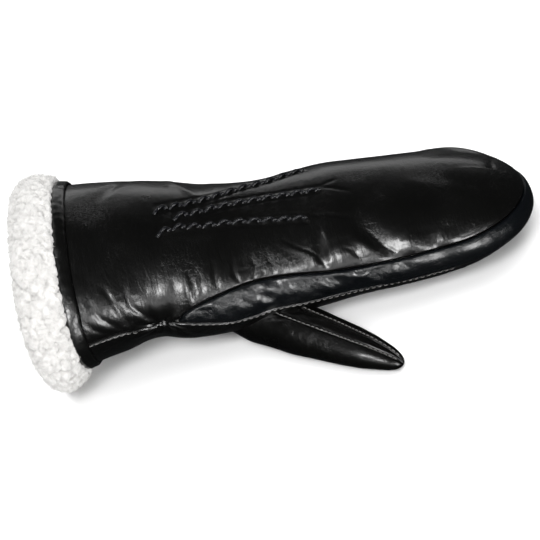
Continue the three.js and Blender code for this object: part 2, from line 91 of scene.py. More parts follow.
# x, width to the near side, to the far side, height of the widest line, rise of the back, drop
SECTIONS = np.array([
    (0, 73, 67, 44, 40, 39), (20, 67, 60, 43.5, 38.5, 40), (40, 61.5, 56, 42, 35.8, 38.5),
    (60, 62, 55, 36.5, 36, 36.5), (80, 61, 53, 33, 34, 33.5), (105, 57.5, 52, 31, 32, 31.5),
    (130, 56, 52, 30, 30.5, 30), (155, 54.5, 52, 29, 29, 29), (178, 53, 51, 27, 27.5, 27),
    (201, 50, 49, 25, 25.5, 24.5), (227, 49.5, 48.6, 24, 24, 22), (254, 49.4, 48.5, 23, 22, 20)])
# x, then the turn from the crown, in degrees, of the seam of the back and of the seam of the palm
NEAR_SEAMS = np.array([
    (0, 95, 95), (24, 97, 97), (36, 102, 102), (50, 99, 99), (53, 95.6, 98), (58, 86.5, 97.5),
    (68, 78.5, 100), (80, 72.5, 104), (93, 69, 104), (105, 69, 102), (118, 71, 105), (137, 76, 107),
    (158, 78.5, 109), (180, 77.5, 112), (201, 75.5, 113)])
FAR_SEAMS = np.array([
    (0, 95, 95), (50, 95, 95), (53, 93, 95.6), (58, 87, 99), (80, 79, 106), (130, 77, 108),
    (180, 72, 108), (201, 67, 108)])
# the same round the fingertip: 0 is the near side, 90 the tip and 180 the far side
TIP_SEAMS = np.array([
    (0, 75.5, 113), (30, 72, 114), (60, 70.5, 112), (90, 72, 110), (120, 76, 110), (145, 82, 109),
    (165, 76, 108), (180, 67, 108)])

# %% [markdown]
# ## One skin for all panels
# A smooth curve through each column of the tables fills in the sections between. For a place on the
# axis and a turn from the crown, the skin then gives a point and the direction out of the leather,
# which every fold and stitch below needs. A sculpted mesh couldn't be asked such questions.

# %% Smooth columns


def column(table, k):
    """A smooth curve through one column of a table."""
    x, y = table[:, 0], table[:, k]
    before, after = np.arange(len(x)).clip(1) - 1, (np.arange(len(x)) + 1).clip(0, len(x) - 1)
    slope = (y[after] - y[before]) / (x[after] - x[before])

    def curve(at):
        at = np.clip(at, x[0], x[-1])
        i = np.clip(np.searchsorted(x, at, side="right") - 1, 0, len(x) - 2)
        span = x[i + 1] - x[i]
        t = (at - x[i]) / span
        return ((2 * t**3 - 3 * t**2 + 1) * y[i] + (t**3 - 2 * t**2 + t) * span * slope[i]
                + (3 * t**2 - 2 * t**3) * y[i + 1] + (t**3 - t**2) * span * slope[i + 1])
    return curve


near, far, middle, rise, drop = (column(SECTIONS, k) for k in range(1, 6))
near_upper, near_lower = column(NEAR_SEAMS, 1), column(NEAR_SEAMS, 2)
far_upper, far_lower = column(FAR_SEAMS, 1), column(FAR_SEAMS, 2)
tip_upper, tip_lower = column(TIP_SEAMS, 1), column(TIP_SEAMS, 2)

# %% The skin


def unit(vectors):
    return vectors / np.linalg.norm(vectors, axis=-1, keepdims=True)


def half_width(x, y):
    return np.where(y < 0, near(x), far(x))


def skin(base, dx, dy, turn):
    """Points and normals of the skin in millimetres: base along the axis, (dx, dy) the direction in
    plan from it, and turn the angle down from the crown."""
    x = base + TIP_LENGTH * dx * np.sin(turn)
    half = half_width(x, dy)
    y = half * dy * np.sin(turn)
    height = np.where(np.cos(turn) > 0, rise(x), drop(x))
    z = middle(x) + height * np.cos(turn)
    e = 0.5  # mm, for the slopes
    grow = lambda f: (f(x + e) - f(x - e)) / (2 * e)
    half_grow = np.where(dy < 0, grow(near), grow(far))
    height_grow = np.where(np.cos(turn) > 0, grow(rise), grow(drop))
    up = z - middle(x)
    nx = (-y**2 * half_grow / half**3 - up * grow(middle) / height**2
          - up**2 * height_grow / height**3 + np.maximum(x - TIP_START, 0) / TIP_LENGTH**2)
    return np.stack([x, y, z], -1), unit(np.stack([nx, y / half**2, up / height**2], -1))

# %% [markdown]
# ## Lying on the table
# The mitten lies on its palm, propped up a little by its thumb. Each finished point is tipped and
# set down last, and what would go through the table is pressed flat in a soft curve. A cloth
# simulation could do this too, but would change the outline that the photograph gives.

# %% Laid down
TILT, SINK = radians(6), 1.5
SOFTNESS = 0.3  # mm squared: how softly the flattened part begins


def pressed(height):
    """Heights over the table in mm, with what would go through it flattened."""
    return 0.5 * (height + np.sqrt(height**2 + SOFTNESS))


def laid(points):
    """From the hand's own frame in millimetres to the scene in metres, with the near side up."""
    x, y, z = np.moveaxis(np.asarray(points, float), -1, 0)
    ly = y * cos(TILT) + z * sin(TILT)
    lz = pressed(z * cos(TILT) - y * sin(TILT) - SINK)
    return np.stack([x + SHIFT.x, ly + SHIFT.y, lz], -1) * MM


def placed(points):
    """The same for the thumb, whose own frame isn't tipped."""
    return (points + np.array([SHIFT.x, SHIFT.y, 0])) * MM


def section_place(points):
    """The reverse of laid, roughly: x, turn in degrees and share of the skin's radius."""
    x, ly, lz = np.moveaxis(np.asarray(points) / MM - np.array([SHIFT.x, SHIFT.y, -SINK]), -1, 0)
    y, z = ly * cos(TILT) - lz * sin(TILT), lz * cos(TILT) + ly * sin(TILT)
    past = np.maximum(x - TIP_START, 0) / TIP_LENGTH
    out = y / half_width(x, y)
    up = (z - middle(x)) / np.where(z > middle(x), rise(x), drop(x))
    return x, np.degrees(np.arctan2(out, up)), np.sqrt(out**2 + up**2 + past**2)


print("girth of the cuff and of the hand in mm:",
      [round(float(2 * pi * np.sqrt((near(x)**2 + rise(x)**2) / 2))) for x in (0, 130)])

# %% [markdown]
# ## Ripples
# Leather is never as smooth as its pattern: it swells between seams and crumples beside them. A
# texture could fake that, but folds this large must catch the light and cut the outline. Sums of a
# few slanting waves give a soft uneven field, and its zero lines make a net of fine creases.

# %% Waves and creases


def waves(seed, length, count=16):
    """A smooth random field of roughly unit height, with bumps about length mm long."""
    rng = np.random.default_rng(seed)
    k = rng.normal(size=(count, 3))
    k *= (tau / (length * rng.uniform(0.7, 1.5, count)) / np.linalg.norm(k, axis=1))[:, None]
    phase = rng.uniform(0, tau, count)
    return lambda p: np.sin(p @ k.T + phase).sum(-1) * np.sqrt(1 / count)


def net(field, p, width):
    """Thin lines where a field passes zero, 1 on the line and 0 beside it."""
    return np.exp(-(field(p) / width) ** 2)

# %% The fields that the pieces share
swell = waves(3, 46)
sag = waves(11, 24)
pucker = waves(5, 7)
crumple = waves(17, 15)
patches = waves(31, 38)

# %% [markdown]
# ## Folds
# Leather folds where the hand bends and where it is gathered. Random ripples can't put a fold in
# its place, so the folds that show are listed as lines on the skin. Each is a soft valley along its
# line, or a ridge where its depth is negative, and fades out at its ends.

# %% Folds and creases
# depth, half width in mm, line of (x, turn), with the turn negative on the near side
FOLDS = [
    (0.38, 0.9, [(116, -42), (118, -44.5), (121.5, -49), (128, -55), (130.5, -58.5), (134.5, -70)]),
    (-0.3, 2.4, [(114, -44), (119, -49), (126, -56), (132, -67)]),
    (1.2, 3.8, [(135, -40), (134, -53), (134, -68)]),
    (-0.45, 1.6, [(138, -40), (138, -54), (137.5, -69)]),
    (0.3, 1.2, [(146, -58.5), (149.5, -61.5), (152, -67), (154.5, -72)]),
    (-0.5, 7.0, [(144, -52), (145, -68)]),
    (-0.9, 3.4, [(152, -50), (157, -59), (160.5, -66.5), (162.5, -72)]),
    (1.7, 6.0, [(156, -38), (162.5, -53.5), (166.5, -64.5), (171, -72)]),
    (0.5, 0.8, [(160, -47), (164, -55), (166, -62), (171, -70)]),
    (-0.9, 6.0, [(178, -58), (182, -66), (187, -73)]),
    (0.7, 4.5, [(191.5, -60), (192, -74.5)]),
    (-0.6, 6.0, [(195, -64), (203, -75)]),
    (0.6, 1.3, [(78, -50), (77, -62), (77.5, -69)]),
    (0.5, 1.4, [(70, -55), (69, -70), (68, -77)]),
    (-0.6, 1.6, [(62.5, -58), (62, -70), (61.5, -80)]),
    (0.6, 3.0, [(58, -62), (56, -75), (55, -86)]),
    (-0.7, 2.6, [(60, 40), (65, 24), (74, 7)]),
    (0.5, 6.0, [(73, 36), (78, 24), (86, 8)]),
    (2.8, 13.0, [(84, 38), (102, 42), (122, 46)]),
    (0.8, 3.0, [(40, 40), (34, 24), (25, 5)]),
    (0.45, 1.0, [(141, -4), (148, -7), (156, -12)]),
    (0.35, 0.9, [(141, -3), (150, 2)]),
    (0.4, 1.1, [(131, -28), (140, -29), (152, -34)]),
    (-0.8, 4.5, [(190, -12), (208, -24), (222, -42)]),
    (1.4, 7.0, [(208, 28), (226, 46), (236, 60)]),
    (-2.2, 6.0, [(206, 58), (222, 62), (236, 64)]),
    (0.4, 0.8, [(226, 20), (234, 40), (238, 56)]),
    (0.35, 1.0, [(216, 10), (230, 20), (240, 24)]),
    (0.5, 1.3, [(88, -50), (87, -59), (89, -67)]),
    (0.45, 1.3, [(97, -48), (99, -57), (96, -66)]),
    (0.45, 1.2, [(106, -52), (108, -60), (107, -67)]),
    (0.5, 1.3, [(12, -66), (16, -78), (23, -90)]),
    (0.45, 1.3, [(21, -60), (25, -74), (28, -90)]),
    (0.45, 1.4, [(30, -62), (32, -76), (39, -92)]),
    (0.4, 1.2, [(7, -76), (11, -84), (18, -93)]),
    (0.5, 1.3, [(65, -58), (66, -68), (64, -77)])]
print(len(FOLDS), "folds and creases, the deepest", max(fold[0] for fold in FOLDS), "mm")

# %% Distance to a line on the skin
SIDE = 0.72  # mm of girth for one degree of turn


def travelled(line):
    """The way along a line of places up to each of them."""
    return np.concatenate([[0], np.cumsum(np.linalg.norm(np.diff(line, axis=0), axis=1))])


def near_line(x, side, places):
    """Distance in mm from places of the skin to a line on it, and the share of the line there."""
    best, share = np.full(np.shape(x), 1e9), np.zeros(np.shape(x))
    line = np.array(places, float) * (1, SIDE)
    steps = travelled(line)
    for k, (a, b) in enumerate(zip(line, line[1:])):
        d = b - a
        t = np.clip(((x - a[0]) * d[0] + (side * SIDE - a[1]) * d[1]) / (d @ d), 0, 1)
        away = np.hypot(x - a[0] - t * d[0], side * SIDE - a[1] - t * d[1])
        closer = away < best
        best = np.where(closer, away, best)
        share = np.where(closer, (steps[k] + t * (steps[k + 1] - steps[k])) / steps[-1], share)
    return best, share


def folds(x, side):
    """Depth of the folds at places of the skin, in mm."""
    depth = np.zeros(np.shape(x))
    for deep, width, places in FOLDS:
        away, share = near_line(x, side, places)
        fade = np.sin(pi * np.clip(share * 0.8 + 0.1, 0, 1)) ** 0.7
        depth += deep * fade * np.exp(-(away / width) ** 2)
    return depth

# %% [markdown]
# ## The three stitched lines
# On the back of a dress glove three small tucks are pinched up and sewn over. The leather rises
# along each line, dips where a stitch pulls it in and lies a little lower on both sides. The lines
# are given as seen from above, as a glove maker marks them.

# %% Pinched lines
POINT_LINES = {
    "point_far": [(53, -9.7), (77, -0.3), (100, 10), (122, 19), (135, 24)],
    "point_middle": [(63, -15), (88, -7.5), (112, -5), (141, -6)],
    "point_near": [(53, -27.7), (65, -23.5), (88, -22.3), (110, -23.9), (131, -27)]}
STITCH = 7.6  # mm from one stitch to the next
RIDGE, PINCH, RIDGE_WIDTH = 0.45, 0.9, 1.4  # mm, of the raised leather
GROOVE, GROOVE_PLACE, GROOVE_WIDTH = 0.4, 2.6, 0.9  # mm, on both sides of it


def turn_at(x, y):
    return np.degrees(np.arcsin(y / half_width(x, y)))


POINT_TURNS = {name: [(x, float(turn_at(x, y))) for x, y in line]
               for name, line in POINT_LINES.items()}


def ridges(x, side):
    """The leather is pinched up under each line of hand stitches, and drawn in at each stitch."""
    height = np.zeros(np.shape(x))
    for places in POINT_TURNS.values():
        away, share = near_line(x, side, places)
        count = travelled(np.array(places) * (1, SIDE))[-1] / STITCH
        drawn_in = 0.5 + 0.5 * np.cos(tau * count * share)
        inside = (share > 0) & (share < 1)
        ridge = (RIDGE - PINCH * drawn_in) * np.exp(-(away / RIDGE_WIDTH) ** 2)
        groove = GROOVE * np.exp(-((away - GROOVE_PLACE) / GROOVE_WIDTH) ** 2)
        height += (ridge - groove) * inside
    return height


print("lengths of the lines in mm:",
      {name: round(float(travelled(np.array(line))[-1])) for name, line in POINT_LINES.items()})

# %% [markdown]
# ## Slanting wrinkles
# Narrow strips of leather wrinkle across, in one direction. The same sum of waves does it when it
# is stretched along a slanting axis of the surface.

# %% Wrinkles


def slanting(seed, along, beside, angle, count=14):
    """A smooth field over x and girth in mm, with long bumps that run at an angle in degrees."""
    rng = np.random.default_rng(seed)
    way = rng.uniform(0, tau, count)
    size = tau / rng.uniform(0.7, 1.4, count)
    ka, kb = np.cos(way) * size / along, np.sin(way) * size / beside
    kx = ka * cos(radians(angle)) - kb * sin(radians(angle))
    ks = ka * sin(radians(angle)) + kb * cos(radians(angle))
    phase = rng.uniform(0, tau, count)
    return lambda x, girth: np.sin(
        x[..., None] * kx + girth[..., None] * ks + phase).sum(-1) / np.sqrt(count)


wrinkle = slanting(61, 26, 10, -40)
wrinkle_fine = slanting(67, 10, 3.0, -60)
wrinkle_round = slanting(71, 14, 4.5, 78)
wrinkle_cross = slanting(83, 17, 8, 20)

# %% [markdown]
# ## Leather
# The leather is a dyed and polished hide: almost black, with a clear finish that mirrors the room
# over tiny pores and creases. One Principled shader does it. The dye sits in the base colour, the
# finish in a low roughness under a thin clear coat. Four bumps add soft creases, worn crackle in
# patches, fine lines drawn across the hide, and pores, all in the object's own coordinates. The
# thumb is rubbed duller, so its finish mirrors less.

# %% Shader helpers


def put(node, **values):
    """Sets inputs of a node by their names, written with _ for a space."""
    for name, value in values.items():
        node.inputs[name.replace("_", " ")].default_value = value
    return node


def new_material(name, **values):
    """A material and its shader, with inputs of the shader set."""
    material = bpy.data.materials.new(name)
    material.use_nodes = True
    return material, put(material.node_tree.nodes["Principled BSDF"], **values)


def link(source, target):
    source.id_data.links.new(source, target)


def fed(source, kind, socket, **values):
    """A new node with one input linked to a source and others set."""
    node = put(source.id_data.nodes.new("ShaderNode" + kind), **values)
    link(source, node.inputs[socket])
    return node


def own_place(shader):
    """Coordinates of the object that a shader is on."""
    return shader.id_data.nodes.new("ShaderNodeTexCoord").outputs["Object"]


def texture(place, kind, **values):
    """The outputs of a procedural texture that is read at a place."""
    return fed(place, "Tex" + kind, "Vector", **values).outputs


def ranged(source, **values):
    """A source, taken from one range to another."""
    return fed(source, "MapRange", "Value", **values).outputs["Result"]


def two_tones(source, shader, dark, light, span=(0, 1)):
    """Colours a shader by a source, from a dark to a light tone over a span of it."""
    ramp = fed(source, "ValToRGB", "Fac")
    for element, tone, at in zip(ramp.color_ramp.elements, (dark, light), span):
        element.color, element.position = (*tone, 1), at
    link(ramp.outputs["Color"], shader.inputs["Base Color"])


def bumped(source, strength, distance, under=None):
    """The normal of a bump, laid over the normal of the one before."""
    bump = fed(source, "Bump", "Height", Strength=strength, Distance=distance)
    if under:
        link(under, bump.inputs["Normal"])
    return bump.outputs["Normal"]

# %% Crackle and drawn lines
BEND, CRACKLE, GRAIN, GRAIN_LENGTH = 0.007, 380, 430, 4.5


def crackle(place, bend, where):
    """Lines between the cells of a net that one noise bends, where another noise is high."""
    bent = fed(bend, "VectorMath", 0)
    bent.operation = "MULTIPLY_ADD"
    bent.inputs[1].default_value = (BEND, BEND, BEND)
    link(place, bent.inputs[2])
    cells = fed(bent.outputs["Vector"], "TexVoronoi", "Vector", Scale=CRACKLE)
    cells.feature = "DISTANCE_TO_EDGE"
    both = fed(ranged(cells.outputs["Distance"], From_Max=0.12), "Math", 0)
    both.operation = "MULTIPLY"
    link(ranged(where, From_Min=0.46, From_Max=0.66), both.inputs[1])
    return both.outputs["Value"]


def drawn_lines(place, slant):
    """A noise that is drawn out across the hide, turned by slant about the Y axis."""
    stretched = fed(place, "Mapping", "Vector", Rotation=(0, slant, 0),
                    Scale=(1, GRAIN_LENGTH, GRAIN_LENGTH))
    stretched.vector_type = "TEXTURE"
    return texture(stretched.outputs["Vector"], "Noise",
                   Scale=GRAIN, Detail=3, Distortion=0.6)["Fac"]

# %% Leather material


def leather_material(name, colour, roughness, creases, slant=0, index=1.5):
    material, shader = new_material(name, IOR=index, Coat_Weight=0.22, Coat_Roughness=0.14)
    place = own_place(shader)
    patch = texture(place, "Noise", Scale=38, Detail=4)["Fac"]
    two_tones(patch, shader, [c * 0.75 for c in colour], [c * 1.3 for c in colour])
    gloss = ranged(patch, To_Min=roughness - 0.05, To_Max=roughness + 0.07)
    link(gloss, shader.inputs["Roughness"])
    crease = texture(place, "Noise", Scale=260, Detail=5, Distortion=0.8)
    pore = texture(place, "Voronoi", Scale=1500)["Distance"]
    crackled = crackle(place, crease["Color"], patch)
    normal = None
    for source, strength, distance in ((crease["Fac"], creases, 0.0006),
                                       (drawn_lines(place, slant), 0.32, 0.0006),
                                       (crackled, 1.5 * creases, 0.0003),
                                       (pore, 0.12, 0.0001)):
        normal = bumped(source, strength, distance, normal)
    link(normal, shader.inputs["Normal"])
    return material


BLACK, BLUE_BLACK = (0.0012, 0.0012, 0.0011), (0.0014, 0.0019, 0.0025)
back_leather = leather_material("black_leather", BLACK, 0.29, 0.2)
thumb_leather = leather_material("thumb_leather", BLACK, 0.28, 0.2, index=1.32)
strip_leather = leather_material("strip_leather", BLUE_BLACK, 0.29, 0.3, slant=radians(-40))
print("leathers:", [m.name for m in (back_leather, thumb_leather, strip_leather)])

# %% [markdown]
# ## Panels
# Each panel is a thin sheet, so a grid is the natural start: it is added as a primitive, its
# corners are moved onto the skin, and Solidify gives it the leather's thickness. Round the
# fingertips the grid's square end is drawn out to a disc, which leaves no pole on glossy leather.

# %% A sheet of leather
LEATHER = 1.2 * MM


def deselect():
    bpy.ops.object.select_all(action="DESELECT")


def in_edit_mode(*steps):
    """Runs steps on the whole of the active mesh."""
    bpy.ops.object.mode_set(mode="EDIT")
    bpy.ops.mesh.select_all(action="SELECT")
    for step in steps:
        step()
    bpy.ops.object.mode_set(mode="OBJECT")


def weld():
    """Joins corners that lie in one place."""
    bpy.ops.mesh.remove_doubles(threshold=1e-6)


def corners_of(piece):
    """Places and normals of the corners of a mesh, as arrays."""
    co, no = np.empty((2, len(piece.data.vertices) * 3))
    piece.data.vertices.foreach_get("co", co)
    piece.data.vertices.foreach_get("normal", no)
    return co.reshape(-1, 3), no.reshape(-1, 3)


def sheet_of(name, points, outward=None):
    """A grid primitive whose corners are moved to points, an array of rows, columns and xyz. Its
    faces are turned to the side that outward points to."""
    rows, cols = points.shape[:2]
    deselect()
    bpy.ops.mesh.primitive_grid_add(x_subdivisions=cols - 1, y_subdivisions=rows - 1, size=0.1)
    sheet = bpy.context.object
    sheet.name = sheet.data.name = name
    sheet.data.vertices.foreach_set("co", points.reshape(-1))
    sheet.data.update()
    facing = np.cross(np.gradient(points, axis=1), np.gradient(points, axis=0))
    if outward is not None and (facing * outward).sum() < 0:
        in_edit_mode(bpy.ops.mesh.flip_normals)
    bpy.ops.object.shade_smooth()
    return sheet

# %% Thickness, finish and frame


def thicken(sheet, thickness=LEATHER):
    deselect()
    bpy.context.view_layer.objects.active = sheet
    sheet.select_set(True)
    wall = sheet.modifiers.new("wall", "SOLIDIFY")
    wall.thickness, wall.offset = thickness, -1
    bpy.ops.object.modifier_apply(modifier="wall")
    return sheet


def finish_piece(piece, material, slot, *nodes):
    piece.data.materials.clear()
    piece.data.materials.append(material)
    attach(piece, "root")
    if nodes:
        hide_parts(*nodes)
    print(piece.name, len(piece.data.polygons), "faces")

# %% [markdown]
# ## From skin to leather
# Between its seams a panel swells and sags, and where it is handled it wrinkles. At a seam the two
# edges turn in and meet in a narrow dark groove. All panels share this rule, so that their edges
# meet at the same depth.

# %% Surface of the leather
SEAM_GAP = 0.06  # degrees that an edge keeps from its seam


def seam_turns(base, dx, dy):
    """The turns of the two seams in a direction from a place on the axis, in degrees."""
    way = np.degrees(np.arctan2(dx, -dy))
    seams = ((near_upper, far_upper, tip_upper), (near_lower, far_lower, tip_lower))
    return [np.where(base < TIP_START, np.where(dy < 0, on_near(base), on_far(base)), on_tip(way))
            for on_near, on_far, on_tip in seams]


def edge_fall(gap):
    """How deep the leather turns in, gap mm from a seam."""
    return 1.5 * np.clip(1 - gap / 1.3, 0, 1) ** 1.5 + 0.5 * np.clip(1 - gap / 7, 0, 1) ** 2


def details(p, x, side, gap, rough):
    """Height of the leather's swelling and wrinkles over the smooth skin, in mm. The wrinkles grow
    with rough."""
    beside_seam = np.exp(-gap / 7)
    girth = side * SIDE
    calm = 0.42 * swell(p) + 0.07 * sag(p)
    fine = 0.025 * wrinkle_round(x, girth) + 0.015 * wrinkle_fine(x, girth)
    lines = 0.10 * net(crumple, p, 0.4)
    return calm + (fine - lines) * rough + 0.05 * pucker(p) * beside_seam * rough - edge_fall(gap)

# %% [markdown]
# ## Back and palm
# The two large panels could be cut from one egg-shaped mesh, but a cut along their wandering seams
# leaves jagged edges. So each is a grid of its own whose border is the seam. At the near side of
# the wrist an elastic gathers the leather, which gives rays of small folds.

# %% Gathered wrist
GATHER, NOTCH = (45, -101), (37, -128)  # x in mm and turn in degrees


def gathers(x, side):
    """The palm is drawn together by an elastic inside the wrist, on the near side."""
    along, down = x - GATHER[0], (side - GATHER[1]) * SIDE
    away, way = np.hypot(along, down), np.arctan2(down, along)
    rays = np.cos(9 * way + 1.5 * np.sin(2 * way) + 0.12 * away)
    fans = 0.95 * rays * np.clip(away / 4, 0, 1) * np.exp(-(away / 12) ** 2)
    pit = (1.7 + 0.8 * wrinkle_fine(x, side * SIDE)) * np.exp(-(away / 6) ** 2)
    notch = 2.6 * np.exp(-((x - NOTCH[0]) / 10) ** 2 - ((side - NOTCH[1]) / 17) ** 2)
    return fans + pit + notch

# %% Back and palm
ROW_STEP, COLUMNS, TIP_ROWS = 0.98, 166, 54
CROWDED = 0.8 * pi / 2  # columns are closer at the seams
MEAN_RADIUS = 42  # mm, from turns to distances


def panel_places():
    """Places on the axis, directions from it and shares of the way from crown to seam. Round the
    fingertips the square end of the grid is drawn out to a half disc."""
    base = np.concatenate([np.arange(0, TIP_START, ROW_STEP), np.full(TIP_ROWS + 1, TIP_START)])
    u = np.concatenate([np.zeros(len(base) - TIP_ROWS - 1), np.linspace(0, 1, TIP_ROWS + 1)])
    v = np.sin(np.linspace(-1, 1, COLUMNS + 1) * CROWDED) / sin(CROWDED)
    base, u, v = np.broadcast_arrays(base[:, None], u[:, None], v)
    dx, dy = u * np.sqrt(1 - v**2 / 2), v * np.sqrt(1 - u**2 / 2)
    share = np.maximum(np.hypot(dx, dy), 1e-9)
    dx, dy = dx / share, np.where(share > 1e-8, dy / share, -1)
    return base, dx, dy, share, np.where(u > 0, TIP_START, base - 1e-6)


def panel(name, is_back):
    base, dx, dy, share, row = panel_places()
    upper, lower = seam_turns(row, dx, dy)
    edge = (upper if is_back else 180 - lower) - SEAM_GAP
    turn = share * edge if is_back else 180 - share * edge
    p, normal = skin(base, dx, dy, np.radians(turn))
    gap = (1 - share) * np.radians(edge) * MEAN_RADIUS
    x, side = p[..., 0], np.where(dy < 0, -1, 1) * turn
    low = np.clip((-side - 38) / 30, 0, 1)  # the near side is handled most
    rough = np.clip(0.12 + 0.5 * patches(p) + 0.75 * low, 0.05, 1.1)
    height = details(p, x, side, gap, rough) - gathers(x, side)
    if is_back:
        height += ridges(x, side) - folds(x, side)
    return thicken(sheet_of(name, laid(p + normal * height[..., None]), normal))


finish_piece(panel("back", True), back_leather, "leather", "back_panel")
finish_piece(panel("palm", False), back_leather, "leather", "palm_panel")

# %% [markdown]
# ## Side strip
# A strip of leather runs from the near wrist round the fingertips and back, and gives the mitten
# its depth. It is one long grid between the two seams, with rows that are closer at its edges,
# where the leather turns in. It bulges a little and is wrinkled most beside the thumb.

# %% Side strip
STRIP_START, STRIP_STEP, STRIP_TIP, STRIP_ROWS = 53, 0.9, 190, 37
STRIP_RADIUS = 34  # mm, from turns to distances


def strip_places():
    """Places on the axis and directions from it, all round the hand."""
    straight = np.arange(STRIP_START, TIP_START, STRIP_STEP)
    base = np.concatenate([straight, np.full(STRIP_TIP, TIP_START), straight[::-1]])
    way = np.concatenate([np.zeros(len(straight)), np.linspace(0, pi, STRIP_TIP),
                          np.full(len(straight), pi)])
    return base[:, None], np.sin(way)[:, None], -np.cos(way)[:, None]


def make_strip():
    base, dx, dy = strip_places()
    upper, lower = seam_turns(np.where(dx > 1e-9, TIP_START, base - 1e-6), dx, dy)
    share = 0.5 - 0.5 * np.cos(pi * np.linspace(0, 1, STRIP_ROWS))[None, :]  # closer at the seams
    turn = upper + SEAM_GAP + (lower - upper - 2 * SEAM_GAP) * share
    p, normal = skin(*np.broadcast_arrays(base, dx, dy, np.radians(turn)))
    width = np.radians(lower - upper) * STRIP_RADIUS
    gap = np.minimum(share, 1 - share) * width
    bulge = (0.9 - 0.5 * dx ** 4) * np.clip(width / 14, 0, 1) * np.sin(pi * share) ** 0.7
    x = p[..., 0]
    girth = -turn * SIDE
    beside_thumb = np.clip((205 - x) / 45, 0, 1) * np.clip(gap / 3, 0.2, 1) * (dy < 0)
    wrinkles = (0.33 * wrinkle(x, girth) + 0.2 * wrinkle_cross(x, girth)
                + 0.06 * wrinkle_fine(x, girth) - 0.15 * net(crumple, p, 0.35))
    height = details(p, x, -turn, gap, 0.5) + bulge + wrinkles * beside_thumb
    points = laid(p + normal * height[..., None])
    return thicken(sheet_of("side_strip_leather", points, normal))


finish_piece(make_strip(), strip_leather, "leather", "side_strip")

# %% [markdown]
# ## Thumb
# The thumb is a small tapered tube let into the palm: a wide outer panel, a narrow strip on top and
# an inner panel that faces the hand. Each is a grid round its share of the tube, so real seams part
# them, which one tube in three materials wouldn't have. The root goes in through the palm, and what
# lies deeper than the leather is deleted there, so that the hand's hollow is free.

# %% The tube of the thumb
THUMB = np.array([  # x, y, z, half width, half height
    (80, -24, 18, 15, 12), (96, -39.5, 15.5, 16.4, 13), (113, -54.5, 13, 15.2, 11.8),
    (130, -68.5, 11, 13.2, 9.8), (144, -80, 9.2, 10.6, 7.8), (161, -92, 4.9, 4, 3)])
THUMB_PANELS = {"thumb_strip": (-20, 16), "thumb_outer": (16, 200), "thumb_inner": (200, 340)}


def smooth_line(rows, at):
    """A Catmull-Rom curve through rows, at shares of its length in rows."""
    i = np.clip(np.floor(at).astype(int), 0, len(rows) - 2)
    t = (at - i)[:, None]
    p1, p2 = rows[i], rows[i + 1]
    p0 = np.where((i > 0)[:, None], rows[np.maximum(i - 1, 0)], 2 * p1 - p2)
    p3 = np.where((i < len(rows) - 2)[:, None], rows[np.minimum(i + 2, len(rows) - 1)], 2 * p2 - p1)
    return 0.5 * (2 * p1 + (p2 - p0) * t + (2 * p0 - 5 * p1 + 4 * p2 - p3) * t**2
                  + (3 * p1 - p0 - 3 * p2 + p3) * t**3)


def thumb_frame(along):
    """The thumb's middle line, its two directions and its half sizes at shares of its length."""
    centre = smooth_line(THUMB[:, :3], along)
    tangent = unit(np.gradient(centre, axis=0))
    aside = unit(np.stack([tangent[:, 1], -tangent[:, 0], np.zeros(len(along))], -1))
    up = np.cross(aside, tangent)
    last_part = np.clip(along - 4, 0, 1)
    shrink = (1 - 0.6 * last_part ** 1.25) * np.sqrt(np.clip(1 - last_part ** 8, 0, 1))
    wide, high = (np.interp(along, np.arange(5), THUMB[:5, k]) * shrink for k in (3, 4))
    return centre, aside, up, wide, high


def tube(centre, aside, up, wide, high, phi):
    """Points of an oval tube at angles phi round its middle line, and the directions out of it."""
    sine, cosine = np.sin(phi)[None, :, None], np.cos(phi)[None, :, None]
    p = centre[:, None] + aside[:, None] * (wide[:, None, None] * sine) \
        + up[:, None] * (high[:, None, None] * cosine)
    return p, aside[:, None] * sine + up[:, None] * cosine

# %% Thumb panels
THUMB_GAP, THUMB_FLOOR = 0.4, 0.55  # degrees at a seam, mm from the thumb's frame to the table


def thumb_sheet(name, first, last, columns):
    along = np.concatenate([np.linspace(0, 4, 90), 4 + np.sin(np.linspace(0, pi / 2, 40))[1:]])
    centre, aside, up, wide, high = thumb_frame(along)
    phi = np.radians(np.linspace(first + THUMB_GAP, last - THUMB_GAP, columns))
    p, normal = tube(centre, aside, up, wide, high, phi)
    gap = np.minimum(np.abs(phi - phi[0]), np.abs(phi - phi[-1]))[None] * wide[:, None]
    height = 0.25 * sag(p) - 0.7 * edge_fall(gap) * np.minimum(1, wide / 5)[:, None]
    height -= 0.15 * net(crumple, p, 0.4) * np.exp(-gap / 5)
    p = p + normal * height[..., None]
    p[..., 2] = pressed(p[..., 2] - THUMB_FLOOR) + 0.02
    return sheet_of(name, placed(p), normal)

# %% Root of the thumb


def trim_inside_hand(piece, share):
    """Deletes the corners of a piece that lie deeper in the hand than a share of its radius."""
    deep = section_place(corners_of(piece)[0])[2] < share
    in_edit_mode(lambda: bpy.ops.mesh.select_all(action="DESELECT"))
    piece.data.vertices.foreach_set("select", deep)
    bpy.ops.object.mode_set(mode="EDIT")
    bpy.ops.mesh.delete(type="VERT")
    bpy.ops.object.mode_set(mode="OBJECT")
    print(piece.name, "loses", int(deep.sum()), "corners inside the hand")


for name, (first, last) in THUMB_PANELS.items():
    sheet = thumb_sheet(name + "_leather", first, last, 16 if name == "thumb_strip" else 60)
    trim_inside_hand(sheet, 0.95)
    thicken(sheet)
    finish_piece(sheet, thumb_leather, "leather", name)

# %% [markdown]
# ## Bound cuff
# A strip of leather is folded over the raw edge of the cuff. The fleece collar runs round the same
# edge, so one helper makes both: it carries a closed cross section round the oval of the cuff. A
# torus has too few segments for curly fleece, so a grid is rolled up and its edges are welded.

# %% A ring round the cuff
LOW_SIDE = radians(232)  # the turn where the collar sags, from the crown by the far side


